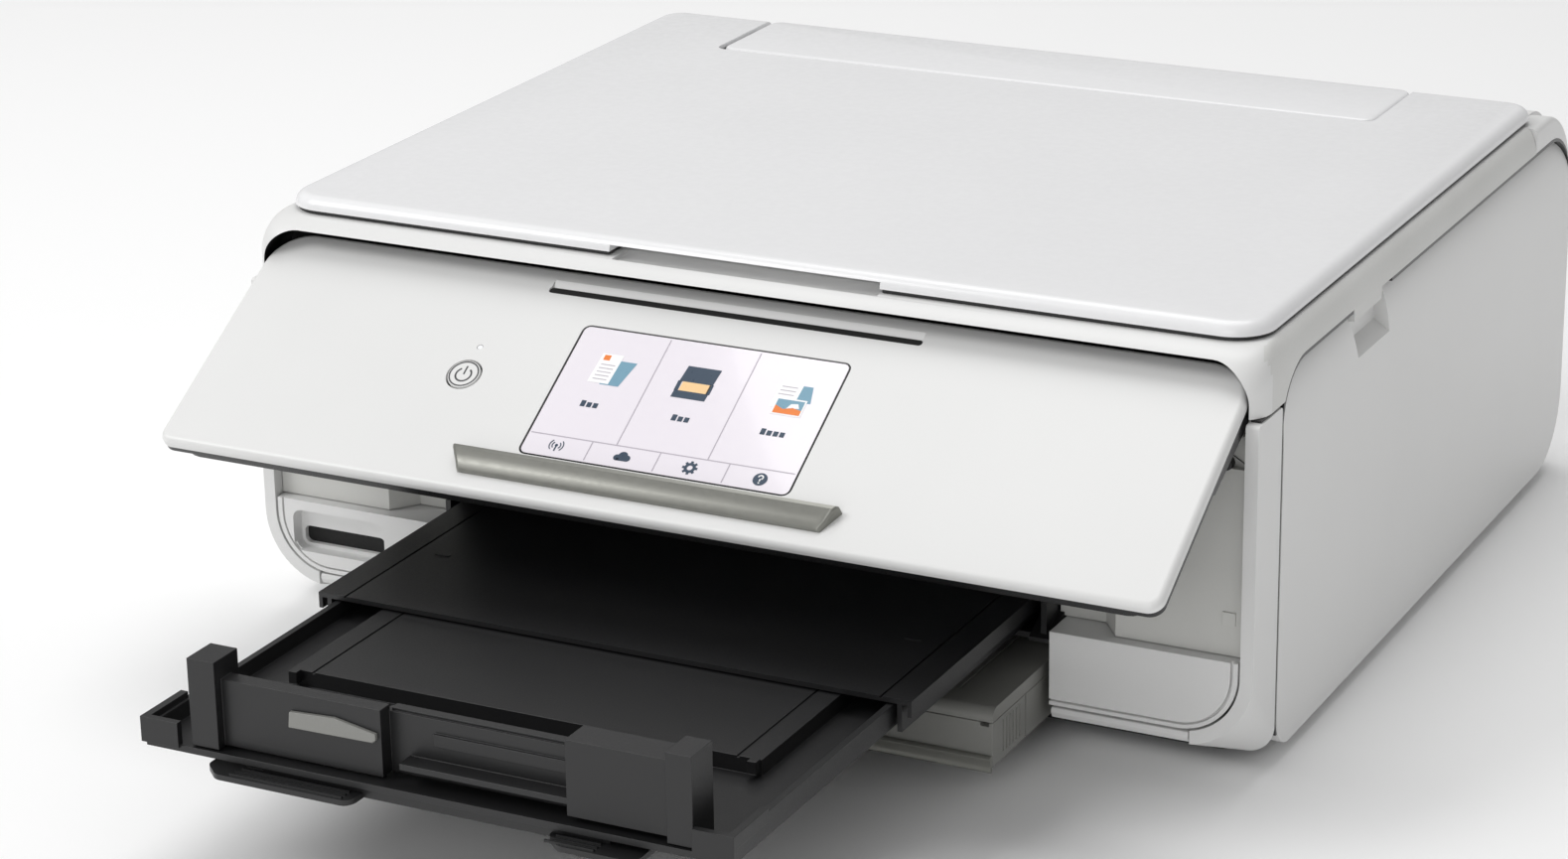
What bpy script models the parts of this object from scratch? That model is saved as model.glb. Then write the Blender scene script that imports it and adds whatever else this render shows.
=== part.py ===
"""Inkjet all-in-one printer, built as separate pieces.

Sizes are in millimetres and are turned into metres once, when a mesh is stored.
X runs to the right, Y to the back and Z up.  Pieces are drawn about the middle of
the enclosure and stored about the middle of the whole printer, tray included, on the
table.  The printer is modelled in use: control panel tilted out, output tray drawn
out and the paper cassette standing forty millimetres proud.
"""
import math

import bmesh
import bpy
from mathutils import Matrix, Vector

MM = 0.001
GAP = 0.3               # clearance between pieces that touch

# enclosure
HALF_W = 186.0          # half of the overall width
FRONT = -169.0          # front face of the lower blocks and the side posts
REAR = 165.0            # back face
COVER_T = 9.0           # thickness of a side cover
COVER_TOP = 135.6       # upper edge of a side cover
COVER_FRONT = -147.9    # front edge of a side cover
CASE_TOP = 124.6        # upper edge of the lower case
CASE_REAR = 158.0
FOOT_H = 3.0
FOOT_R = 9.0
FOOT_X = 150.0          # places of the four feet
FOOT_Y = (-125.0, 135.0)
WALL = 3.0

# scanner and lid
DECK = 146.0            # top of the scanner housing
SHOULDER_FRONT = 13.0   # how far the lid edge stands back from the front
SHOULDER_SIDE = 5.0
LID_TOP = 152.0
LID_REAR = 131.0
LID_EDGE_R = 4.0
FEED_HALF = 133.6       # half width of the rear feed cover
FEED_FRONT = 84.6
GLASS_X = 150.0         # half length of the document glass
GLASS_Y = (-132.0, 70.0)

# control panel: it turns on a pivot below the shoulder of the scanner housing
PIVOT_Y = -163.7
PIVOT_Z = 129.0
PANEL_TILT = math.radians(31.5)   # slope of the panel face, from level
PANEL_HALF = 180.9
PANEL_FACE = 4.57       # face height above the pivot
PANEL_T = 3.4           # thickness of the white plate
PANEL_BACK = 5.6        # depth of the black shell behind it
PANEL_UP = 12.5         # plate above the pivot
PANEL_DOWN = 84.4       # plate below the pivot
SCREEN_HALF = 49.5
SCREEN_TOP = 9.8        # distances down the slope from the pivot
SCREEN_BOTTOM = 66.0
BUTTON_X = -82.7
BUTTON_S = 38.0
BUTTON_R = 6.4

# lower front: blocks beside the cassette and the lip below them
BLOCK_IN = 115.6        # inner end of a front block
BLOCK_TOP = 44.0
LIP_Z = 13.0
POST_T = 4.5            # width of a side post
INNER_WALL_Y = -157.3   # front of the inner wall panels

# paper cassette
BAY_HALF = 116.0
BAY_FLOOR = 10.5
BAY_TOP = 38.5
CASSETTE_HALF = 113.0
CASSETTE_FRONT = -207.0
CASSETTE_LEN = 302.0
CASSETTE_Z = (11.0, 26.2)
CASSETTE_TOP = 31.0

# output tray
TRAY_HALF = 101.0       # inner stage
TRAY_FRONT = -362.0
TRAY_LEN = 137.0
TRAY_Z = (42.2, 49.8)
THUMB_REACH = 6.0       # thumb tabs ahead of the tray's front edge
OUTER_HALF = 107.3      # outer stage
OUTER_FRONT = -255.0
OUTER_LEN = 120.0
OUTER_TOP = 52.0
CHANNEL_HALF = 113.3    # black channel that the tray slides in
CHANNEL_FLOOR = 40.8
STOP_Y = -349.0         # hinge line of the paper stop
STOP_Z = 47.0
STOP_TOP = 73.5
STOP_LEFT = (16.0, 25.0)    # stop posts, measured in from the tray's sides
STOP_RIGHT = (22.0, 13.5)

# print engine
RAIL_Y = 14.0
RAIL_Z = 92.0
CARRIAGE_X = 128.0      # rest place of the ink carriage
CARRIAGE_HALF = 42.0
TANKS = 5
TANK_W = 14.8
ROLLER_HALF = 108.0
FEED_ROLLER = (-8.0, 62.0, 6.0)     # y, z and radius
EXIT_ROLLER = (-72.0, 62.0, 5.0)
MOTOR_R = 12.0
MOTOR_X = (-170.0, -146.0)
INLET_X = -162.0        # left edge of the power inlet, seen from the front
USB_X = 60.0
PORT_Z = 46.0

# rear feed: the chute leans back and the paper support slides up behind it
CHUTE_BOTTOM = (106.0, 92.0)
CHUTE_TOP = (131.0, 144.5)
CHUTE_CHEEK = 20.6      # solid ends of the chute, beside the paper's way down
SUPPORT_HALF = 75.0
SUPPORT_LEN = 56.0

REAR_SKIN = 0.4         # the rear cover stands this far inside the back face
MIDDLE_Y = (TRAY_FRONT - THUMB_REACH + REAR - REAR_SKIN) / 2


# ---------------------------------------------------------------- materials

def material(name, colour, roughness, metallic=0.0):
    made = bpy.data.materials.new(name)
    made.use_nodes = True
    shader = made.node_tree.nodes["Principled BSDF"]
    shader.inputs["Base Color"].default_value = (*colour, 1.0)
    shader.inputs["Roughness"].default_value = roughness
    shader.inputs["Metallic"].default_value = metallic
    return made


COLOURS = {
    "white": ((0.83, 0.83, 0.84), 0.3, 0.0),
    "gloss_white": ((0.87, 0.87, 0.88), 0.15, 0.0),
    "black": ((0.02, 0.02, 0.021), 0.38, 0.0),
    "grey": ((0.27, 0.27, 0.25), 0.34, 0.0),
    "silver": ((0.42, 0.42, 0.4), 0.3, 0.4),
    "rubber": ((0.02, 0.02, 0.02), 0.8, 0.0),
    "steel": ((0.55, 0.56, 0.57), 0.28, 1.0),
    "glass": ((0.75, 0.8, 0.8), 0.05, 0.0),
    "screen": ((0.86, 0.84, 0.88), 0.12, 0.0),
    "board": ((0.02, 0.17, 0.07), 0.5, 0.0),
    "pad": ((0.8, 0.8, 0.8), 0.9, 0.0),
    "lens": ((0.9, 0.95, 1.0), 0.2, 0.0),
}


def own_material(node, colour):
    return material(node + "_" + colour, *COLOURS[colour])


# ---------------------------------------------------------------- mesh tools

def arc(cx, cy, radius, start, end, steps):
    """Points of a circular arc, angles in degrees, both ends included."""
    turns = (math.radians(start + (end - start) * i / steps) for i in range(steps + 1))
    return [(cx + radius * math.cos(t), cy + radius * math.sin(t)) for t in turns]


def rounded(u0, u1, v0, v1, radii, steps=4):
    """Rectangle outline; radii are for the corners (u0,v0) (u1,v0) (u1,v1) (u0,v1)."""
    centres = ((u0, v0, 1, 1, 180), (u1, v0, -1, 1, 270), (u1, v1, -1, -1, 0), (u0, v1, 1, -1, 90))
    outline = []
    for (u, v, du, dv, start), r in zip(centres, radii):
        if r:
            outline += arc(u + du * r, v + dv * r, r, start, start + 90, steps)
        else:
            outline.append((u, v))
    return outline


PLACE = {
    "X": lambda u, v, w: (w, u, v),
    "Y": lambda u, v, w: (u, w, v),
    "Z": lambda u, v, w: (u, v, w),
}


def loft(levels):
    """Closed solid through loops of equal length, with flat ends."""
    bm = bmesh.new()
    loops = [[bm.verts.new(p) for p in level] for level in levels]
    for low, high in zip(loops, loops[1:]):
        for i in range(len(low)):
            j = (i + 1) % len(low)
            bm.faces.new((low[i], low[j], high[j], high[i]))
    bm.faces.new(loops[0][::-1])
    bm.faces.new(loops[-1])
    bmesh.ops.recalc_face_normals(bm, faces=bm.faces)
    return bm


def prism(outline, axis, lo, hi):
    """Outline in the plane across an axis, drawn out from lo to hi."""
    place = PLACE[axis]
    return loft([[place(u, v, w) for u, v in outline] for w in (lo, hi)])


def block(x0, x1, y0, y1, z0, z1):
    return prism([(x0, y0), (x1, y0), (x1, y1), (x0, y1)], "Z", z0, z1)


def cylinder(axis, u, v, radius, lo, hi, steps=24):
    return prism(arc(u, v, radius, 0, 360 - 360 / steps, steps - 1), axis, lo, hi)


def bevel(bm, width, segments, wanted):
    """Round the edges whose middle passes the test."""
    edges = [e for e in bm.edges if wanted((e.verts[0].co + e.verts[1].co) / 2)]
    bmesh.ops.bevel(bm, geom=edges, offset=width, offset_type="OFFSET", segments=segments,
                    profile=0.5, affect="EDGES", material=-1)
    return bm


def temporary(bm):
    mesh = bpy.data.meshes.new("temporary")
    bm.to_mesh(mesh)
    bm.free()
    body = bpy.data.objects.new("temporary", mesh)
    bpy.context.scene.collection.objects.link(body)
    return body


def combine(base, pieces, operation):
    """Exact boolean of one mesh with several others."""
    host = temporary(base)
    tools = [temporary(piece) for piece in pieces]
    for tool in tools:
        step = host.modifiers.new("step", "BOOLEAN")
        step.operation = operation
        step.solver = "EXACT"
        step.object = tool
    bpy.context.view_layer.update()
    mesh = bpy.data.meshes.new_from_object(host.evaluated_get(bpy.context.evaluated_depsgraph_get()))
    for body in [host] + tools:
        bpy.data.objects.remove(body)
    bm = bmesh.new()
    bm.from_mesh(mesh)
    bpy.data.meshes.remove(mesh)
    return bm


def cut(base, *pieces):
    return combine(base, pieces, "DIFFERENCE")


def join(base, *pieces):
    return combine(base, pieces, "UNION")


def add(name, bm, colour, origin=(0.0, 0.0, 0.0), turn=0.0):
    """Store a mesh as a named object; turn is a lean about X, in radians."""
    frame = Matrix.Translation(Vector(origin)) @ Matrix.Rotation(turn, 4, "X")
    if not turn:
        bmesh.ops.transform(bm, matrix=frame.inverted(), verts=bm.verts)
    bmesh.ops.scale(bm, vec=(MM, MM, MM), verts=bm.verts)
    mesh = bpy.data.meshes.new(name)
    bm.to_mesh(mesh)
    bm.free()
    mesh.materials.append(own_material(name, colour))
    mesh.shade_smooth()
    mesh.set_sharp_from_angle(angle=math.radians(32))
    body = bpy.data.objects.new(name, mesh)
    body.location = (origin[0] * MM, (origin[1] - MIDDLE_Y) * MM, origin[2] * MM)
    body.rotation_euler = (turn, 0.0, 0.0)
    bpy.context.scene.collection.objects.link(body)
    return body


def both_sides(name, make, colour, **where):
    """Right piece and its mirror image on the left; make() gives the right one."""
    add(name + "_right", make(), colour, **where)
    bm = make()
    bmesh.ops.scale(bm, vec=(-1, 1, 1), verts=bm.verts)
    bmesh.ops.reverse_faces(bm, faces=bm.faces)
    add(name + "_left", bm, colour, **where)


# ---------------------------------------------------------------- enclosure

def lower_case():
    """Floor, side walls and the channel that the cassette runs in."""
    half = HALF_W - COVER_T - GAP
    right = [(half, FOOT_H + GAP), (half, CASE_TOP), (half - WALL, CASE_TOP), (half - WALL, BAY_TOP),
             (BAY_HALF, BAY_TOP), (BAY_HALF, BAY_FLOOR), (BAY_HALF - 14, BAY_FLOOR),
             (BAY_HALF - 14, FOOT_H + WALL)]
    left = [(-x, z) for x, z in reversed(right)]
    case = prism(right + left, "Y", COVER_FRONT + 0.2, CASE_REAR)
    add("lower_case", case, "black")


def feet():
    for end, y in zip(("front", "rear"), FOOT_Y):
        for side, x in (("left", -FOOT_X), ("right", FOOT_X)):
            add("foot_%s_%s" % (end, side), cylinder("Z", x, y, FOOT_R, 0, FOOT_H, 16), "rubber")


def side_covers():
    """Pillowed side panel with a finger notch under the scanner strip."""
    inner = HALF_W - COVER_T

    def make():
        outline = rounded(COVER_FRONT, REAR - REAR_SKIN, 2.5, COVER_TOP, (16, 26, 30, 20), 5)
        panel = prism(outline, "X", inner, HALF_W)
        bevel(panel, 5.5, 3, lambda m: m.x > HALF_W - 0.1)
        notch = prism([(-83, 122), (-47, 117), (-47, 140), (-83, 140)], "X", inner - 1, HALF_W + 1)
        return cut(panel, notch)

    both_sides("side_cover", make, "white")


def rear_cover():
    """Back wall that curves over to the rear feed slot."""
    half = HALF_W - COVER_T - GAP
    centre = (REAR - 32.0, 114.0)
    outer = arc(*centre, 31.6, 0, 75, 6)
    inner = arc(*centre, 28.4, 75, 0, 6)
    outline = [(REAR - REAR_SKIN, 4)] + outer + inner + [(REAR - REAR_SKIN - 3.2, 4)]
    wall = prism(outline, "X", -half, half)
    socket = block(INLET_X, INLET_X + 32, REAR - 6, REAR + 1, PORT_Z, PORT_Z + 24)
    usb = block(USB_X, USB_X + 14, REAR - 6, REAR + 1, PORT_Z, PORT_Z + 14)
    add("rear_cover", cut(wall, socket, usb), "white")


def hinge_covers():
    """Fixed corner pieces behind the scanner, beside the rear feed."""
    half = HALF_W - COVER_T
    start = 118.3
    centre = (REAR - 32.0, 114.0)

    def make():
        back = centre[0] + 6.9
        inner = block(FEED_HALF + 1.2, half - GAP, start, back, 125, DECK - 0.4)
        bridge = block(half - 1, half + 1, start, back, COVER_TOP + 0.7, DECK - 0.5)
        roof = arc(*centre, 31.6, 88, 46, 5)
        outline = [(start, COVER_TOP + 0.7), (roof[-1][0], COVER_TOP + 0.7)] + roof[::-1]
        outline.append((start, DECK - 0.4))
        outer = prism(outline, "X", half, HALF_W - 0.4)
        bevel(outer, 3.0, 2, lambda m: m.x > HALF_W - 0.5 and m.z > COVER_TOP + 1)
        return join(inner, bridge, outer)

    both_sides("hinge_cover", make, "white")


def front_frame():
    """Side post that turns into the lip under the front block."""
    def make():
        big, small = 26.0, 21.5
        cx, cz = HALF_W - big, LIP_Z + big
        outer = [(BLOCK_IN + 1, LIP_Z)] + arc(cx, cz, big, 270, 360, 8)
        inner = arc(cx, cz, small, 360, 270, 8) + [(BLOCK_IN + 1, LIP_Z + big - small)]
        outline = outer + [(HALF_W, CASE_TOP), (HALF_W - POST_T, CASE_TOP)] + inner
        frame = prism(outline, "Y", FRONT, COVER_FRONT - GAP)

        def outside(m):
            below = m.z < cz and math.hypot(m.x - cx, m.z - cz) > (big + small) / 2
            return m.y < FRONT + 0.1 and (m.x > HALF_W - 0.1 or (below and m.x > BLOCK_IN + 2))

        return bevel(frame, 3.2, 3, outside)

    both_sides("front_frame", make, "white")


def block_outline():
    small = 21.5 - GAP
    cx, cz = HALF_W - 26.0, LIP_Z + 26.0
    low = cz - small
    return ([(BLOCK_IN, low)] + arc(cx, cz, small, 270, 360, 6)
            + [(cx + small, BLOCK_TOP), (BLOCK_IN, BLOCK_TOP)])


def front_blocks():
    """Lower front blocks; the left one holds the memory card slot."""
    def make():
        body = prism(block_outline(), "Y", FRONT + 0.2, COVER_FRONT - GAP)
        return bevel(body, 1.0, 2, lambda m: m.y < FRONT + 0.3)

    add("front_block_right", make(), "white")
    left = make()
    bmesh.ops.scale(left, vec=(-1, 1, 1), verts=left.verts)
    bmesh.ops.reverse_faces(left, faces=left.faces)
    recess = prism(rounded(-174, -137, 25, 40, (3, 3, 3, 3)), "Y", FRONT - 1, FRONT + 9)
    add("front_block_left", cut(left, recess), "white")
    socket = prism(rounded(-173.6, -137.4, 25.4, 39.6, (2, 2, 2, 2), 2), "Y", FRONT + 3, FRONT + 8.6)
    slit = block(-170, -142, FRONT + 2, FRONT + 7, 34.5, 37)
    port = block(-168, -155, FRONT + 2, FRONT + 7, 27.5, 32)
    add("card_slot", cut(socket, slit, port), "black")


def inner_walls():
    """Pale wall panels behind the control panel, either side of the paper exit."""
    half = HALF_W - COVER_T - GAP

    def make():
        return block(CHANNEL_HALF + 0.4, half, INNER_WALL_Y, INNER_WALL_Y + 3, BLOCK_TOP + 0.4, CASE_TOP)

    both_sides("inner_wall", make, "white")


# ---------------------------------------------------------------- print engine

def output_channel():
    """Black channel under the paper exit; the output tray slides in it."""
    wall = 2.0
    outer = CHANNEL_HALF
    inner = outer - wall
    floor = CHANNEL_FLOOR - 2.0
    side = [(outer, floor), (outer, 70), (inner, 70), (inner, CHANNEL_FLOOR)]
    profile = side + [(-x, z) for x, z in reversed(side)]
    body = prism(profile, "Y", INNER_WALL_Y + 0.2, 45)
    low = [(outer, floor), (outer, OUTER_TOP), (inner, OUTER_TOP), (inner, CHANNEL_FLOOR)]
    mouth = prism(low + [(-x, z) for x, z in reversed(low)], "Y", FRONT + 4, INNER_WALL_Y + 1)
    flange = block(-119, 119, COVER_FRONT + 0.5, 44, floor, CHANNEL_FLOOR - 0.2)
    add("output_channel", join(body, mouth, flange), "black")


def rollers():
    y, z, r = FEED_ROLLER
    add("feed_roller", cylinder("X", y, z, r, -ROLLER_HALF, ROLLER_HALF), "rubber", (0, y, z))
    y, z, r = EXIT_ROLLER
    add("exit_roller", cylinder("X", y, z, r, -ROLLER_HALF, ROLLER_HALF), "rubber", (0, y, z))
    platen = block(-ROLLER_HALF, ROLLER_HALF, EXIT_ROLLER[0] + 7, FEED_ROLLER[0] - 8, 56, 64)
    add("platen", platen, "black")


def print_carriage():
    """Guide rail, ink carriage with its lid off, and one tank for each ink."""
    span = HALF_W - COVER_T - WALL - 2 * GAP
    rail = block(-span, span, RAIL_Y, RAIL_Y + 2.5, 80, 108)
    beam = block(-span, span, RAIL_Y + 2, RAIL_Y + 14, 80, 82.5)
    add("carriage_rail", join(rail, beam), "steel")
    x0, x1 = CARRIAGE_X - CARRIAGE_HALF, CARRIAGE_X + CARRIAGE_HALF
    y0, y1 = RAIL_Y - 62, RAIL_Y - 0.5
    shell = block(x0, x1, y0, y1, 72, 100)
    bay = block(x0 + 2.5, x1 - 2.5, y0 + 3, y1 - 8, 78, 101)
    origin = (CARRIAGE_X, RAIL_Y, RAIL_Z)
    add("ink_carriage", cut(shell, bay), "black", origin)
    pitch = (2 * CARRIAGE_HALF - 5) / TANKS
    for i in range(TANKS):
        x = x0 + 2.5 + pitch * (i + 0.5)
        tank = block(x - TANK_W / 2, x + TANK_W / 2, y0 + 3.4, y1 - 8.4, 78.4, 110)
        bevel(tank, 1.0, 1, lambda m: m.z > 109.9)
        add("ink_tank_%d" % (i + 1), tank, "black", origin)


def drives():
    """Motor that moves the paper, its gear on the roller, the main board and the sockets."""
    y, z, r = FEED_ROLLER
    add("feed_motor", cylinder("X", y - 32, z - 6, MOTOR_R, *MOTOR_X), "steel")
    gear = cylinder("X", y, z, r + 3, -ROLLER_HALF - 16, -ROLLER_HALF - 8, 24)
    add("feed_gear", gear, "grey", (0, y, z))
    add("main_board", block(-100, 40, 150.5, 152, 46, 104), "board")
    x, z = INLET_X + 0.5, PORT_Z + 0.5
    add("power_inlet", cut(block(x, x + 31, REAR - 24, REAR - 0.8, z, z + 23),
                           block(x + 5.5, x + 25.5, REAR - 14, REAR + 1, z + 5.5, z + 17.5)), "black")
    x = USB_X + 0.5
    add("usb_port", cut(block(x, x + 13, REAR - 20, REAR - 0.8, z, z + 13),
                        block(x + 2.5, x + 10.5, REAR - 12, REAR + 1, z + 2.5, z + 10.5)), "steel")


# ---------------------------------------------------------------- scanner

def shoulder_loop(lift, inset, z):
    """Outline of the scanner housing at one level of its rounded shoulder."""
    x = HALF_W - SHOULDER_SIDE * inset
    y = FRONT + SHOULDER_FRONT * inset
    radius = 8.0 + 5.0 * lift
    return [(u, v, z) for u, v in rounded(-x, x, y, 117.9, (radius, radius, 0, 0), 5)]


def scanner_housing():
    base = DECK - SHOULDER_FRONT
    levels = [shoulder_loop(0, 0, CASE_TOP + 0.4)]
    for i in range(6):
        turn = math.radians(90 * i / 5)
        levels.append(shoulder_loop(i / 5, 1 - math.cos(turn), base + SHOULDER_FRONT * math.sin(turn)))
    body = loft(levels)
    side = HALF_W - COVER_T - GAP
    top = COVER_TOP + GAP
    curve = arc(COVER_FRONT + 20, top - 20.3, 20.3, 180, 90, 5)
    seat = [(COVER_FRONT - GAP, 90)] + curve + [(130, top), (130, 90)]
    radius = math.hypot(PANEL_UP, PANEL_FACE) + 0.4
    half = PANEL_HALF + 0.7
    mouth = rounded(-half, half, 110, PIVOT_Z + radius, (0, 0, 13, 13), 5)
    body = cut(body,
               prism(seat, "X", side, HALF_W + 5),
               prism(seat, "X", -HALF_W - 5, -side),
               prism(mouth, "Y", FRONT - 5, PIVOT_Y + radius + 0.3),
               block(-166, 166, -146, 80, 128, 143),
               block(-GLASS_X - GAP, GLASS_X + GAP, GLASS_Y[0] - GAP, GLASS_Y[1] + GAP, 140, 150),
               block(-FEED_HALF - 1, FEED_HALF + 1, FEED_FRONT - 1.2, 130, 100, 160))
    tab = block(HALF_W - 3.6, HALF_W - 1.0, -78, -52, 131.5, top + 3)
    add("scanner_housing", join(body, tab), "white", (0, 133, 149))
    glass = block(-GLASS_X, GLASS_X, *GLASS_Y, 143.2, 145.6)
    add("document_glass", glass, "glass", (0, 133, 149))


def scan_unit():
    y0, y1 = GLASS_Y
    bar = block(-GLASS_X + 2, -GLASS_X + 16, y0 + 3, y1 - 3, 133, 142.6)
    add("scan_bar", bar, "black", (-GLASS_X + 9, 0, 130))
    add("scan_rail", block(-164, 164, -36, -30, 128.3, 132.4), "steel", (0, 133, 149))


def lid_outline(inset):
    """Plan of the document lid, with a notch for the rear feed cover."""
    x = HALF_W - SHOULDER_SIDE - inset
    front = FRONT + SHOULDER_FRONT + inset
    rear = LID_REAR - inset
    notch_x = FEED_HALF + 1.0 + inset
    notch_y = FEED_FRONT - 1.2 - inset
    r = 6.0
    outline = arc(-x + 14, front + 14, 14, 180, 270, 5) + arc(x - 14, front + 14, 14, 270, 360, 5)
    outline += arc(x - 10, rear - 10, 10, 0, 90, 4) + arc(notch_x + r, rear - r, r, 90, 180, 3)
    outline += arc(notch_x - r, notch_y + r, r, 0, -90, 3) + arc(-notch_x + r, notch_y + r, r, 270, 180, 3)
    outline += arc(-notch_x - r, rear - r, r, 0, 90, 3) + arc(-x + 10, rear - 10, 10, 90, 180, 4)
    return outline


def document_lid():
    axis = (0, LID_REAR + 0.5, DECK + 2)
    lid = prism(lid_outline(0), "Z", DECK + 0.4, LID_TOP)
    bevel(lid, LID_EDGE_R, 3, lambda m: m.z > LID_TOP - 0.01)
    grip = prism([(FRONT + SHOULDER_FRONT - 1, DECK), (FRONT + SHOULDER_FRONT + 7, DECK),
                  (FRONT + SHOULDER_FRONT - 1, DECK + 3)], "X", -50, 50)
    pad_bed = block(-GLASS_X - 8, GLASS_X + 8, GLASS_Y[0] - 8, GLASS_Y[1] + 6, DECK, DECK + 2.2)
    add("document_lid", cut(lid, grip, pad_bed), "gloss_white", axis)
    pad = block(-GLASS_X - 6, GLASS_X + 6, GLASS_Y[0] - 6, GLASS_Y[1] + 4, DECK + 0.3, DECK + 1.9)
    add("pressure_pad", pad, "pad", axis)


# ---------------------------------------------------------------- rear feed

def rear_feed():
    """Leaning chute with edge guides, its cover, and the sliding paper support."""
    (y0, z0), (y1, z1) = CHUTE_BOTTOM, CHUTE_TOP
    lean = Vector((y1 - y0, z1 - z0)).normalized()
    front = FEED_FRONT + 1.0
    outline = [(front, z1), (front, z0), (y0 + 2.5, z0), (y1, z1), (y1 - 2.8, z1),
               (y0 + 1.0, z0 + 2.5), (front + 2.5, z0 + 2.5), (front + 2.5, z1)]
    chute = prism(outline, "X", -FEED_HALF + 1, FEED_HALF - 1)
    way = FEED_HALF - 1 - CHUTE_CHEEK
    paper_way = block(-way, way, front + 4, y0 - 4, z0 - 1, z0 + 4)
    add("feed_chute", cut(chute, paper_way), "white")
    cover = prism(rounded(-FEED_HALF, FEED_HALF, FEED_FRONT, LID_REAR, (5, 5, 2, 2)), "Z",
                  LID_TOP - 4, LID_TOP - 0.3)
    bevel(cover, 1.5, 2, lambda m: m.z > LID_TOP - 0.4)
    add("feed_cover", cover, "gloss_white", (0, LID_REAR - 1.5, LID_TOP - 1.8))
    foot = (y0 + 6.2, z0 + 2)
    head = (foot[0] + lean[0] * SUPPORT_LEN, foot[1] + lean[1] * SUPPORT_LEN)
    plate = prism([foot, (foot[0] + 2, foot[1]), (head[0] + 2, head[1]), head], "X",
                  -SUPPORT_HALF, SUPPORT_HALF)
    add("paper_support", plate, "white", (0, *head))

    def back_wall(z):
        return y0 + 1.0 + (z - z0 - 2.5) * (y1 - 2.8 - y0 - 1.0) / (z1 - z0 - 2.5) - 0.4

    def guide():
        low, high = z0 + 14, z1 - 12
        outline = [(back_wall(low) - 8, low), (back_wall(low), low), (back_wall(high), high),
                   (back_wall(high) - 8, high)]
        return prism(outline, "X", way - 6, way - 3)

    both_sides("feed_guide", guide, "grey")


# ---------------------------------------------------------------- control panel

def panel_piece(name, bm, colour, origin_shift=None):
    """Panel pieces are drawn flat: X across, Y up the slope, Z out of the face."""
    origin = Vector((0.0, PIVOT_Y, PIVOT_Z))
    if origin_shift:
        shift = Vector(origin_shift)
        bmesh.ops.translate(bm, vec=-shift, verts=bm.verts)
        origin = origin + Matrix.Rotation(PANEL_TILT, 3, "X") @ shift
    return add(name, bm, colour, tuple(origin), PANEL_TILT)


def control_panel():
    face = PANEL_FACE
    under = face - PANEL_T
    plate = prism(rounded(-PANEL_HALF, PANEL_HALF, -PANEL_DOWN, PANEL_UP, (6, 6, 12, 12)), "Z", under, face)
    bevel(plate, 1.6, 2, lambda m: m.z > face - 0.01)
    screen_hole = prism(rounded(-SCREEN_HALF, SCREEN_HALF, -SCREEN_BOTTOM, -SCREEN_TOP, (3, 3, 3, 3), 3),
                        "Z", under - 1, face + 1)
    button_hole = cylinder("Z", BUTTON_X, -BUTTON_S, BUTTON_R, under - 1, face + 1)
    lamp_hole = cylinder("Z", BUTTON_X, -BUTTON_S + 12.2, 1.2, under - 1, face + 1, 12)
    slot = block(-69, 69, 2.4, 3.4, face - 1.2, face + 1)
    panel_piece("panel_plate", cut(plate, screen_hole, button_hole, lamp_hole, slot), "white")
    shell_top = under - GAP
    shell = block(-176, 176, -PANEL_DOWN + 2, PANEL_UP - 3, shell_top - PANEL_BACK, shell_top)
    bevel(shell, 2.0, 2, lambda m: m.z < shell_top - PANEL_BACK + 0.01)
    well = cylinder("Z", BUTTON_X, -BUTTON_S, BUTTON_R - 1.5, shell_top - 3, shell_top + 1)
    arm = [(4, shell_top), (-38, shell_top), (-34, shell_top - 3.5), (-6, shell_top - PANEL_BACK),
           (3, shell_top - PANEL_BACK)]
    arms = [prism(arm, "X", *sorted((s * 175, s * (PANEL_HALF - 0.5)))) for s in (-1, 1)]
    panel_piece("panel_shell", cut(join(shell, *arms), well), "black")
    edge = GAP + 0.2
    glass = rounded(-SCREEN_HALF + edge, SCREEN_HALF - edge, -SCREEN_BOTTOM + edge, -SCREEN_TOP - edge,
                    (2.6, 2.6, 2.6, 2.6), 3)
    panel_piece("touch_screen", prism(glass, "Z", under, face - 0.05), "screen")
    cap = cylinder("Z", BUTTON_X, -BUTTON_S, BUTTON_R - GAP, under + 1.0, face + 0.3)
    stem = cylinder("Z", BUTTON_X, -BUTTON_S, BUTTON_R - 2, under - 0.1, under + 1.5)
    panel_piece("power_button", join(cap, stem), "white", (BUTTON_X, -BUTTON_S, face))
    lamp = cylinder("Z", BUTTON_X, -BUTTON_S + 12.2, 0.9, under, face - 0.1, 12)
    panel_piece("power_lamp", lamp, "lens")
    profile = [(-77.6, face + GAP), (-68.2, face + GAP), (-68.8, face + 3.0), (-70.2, face + 4.2),
               (-72.2, face + 4.2), (-76.4, face + 2.0)]
    grip = prism(profile, "X", -70, 69)
    panel_piece("panel_grip", grip, "silver")


# ---------------------------------------------------------------- output tray

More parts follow.
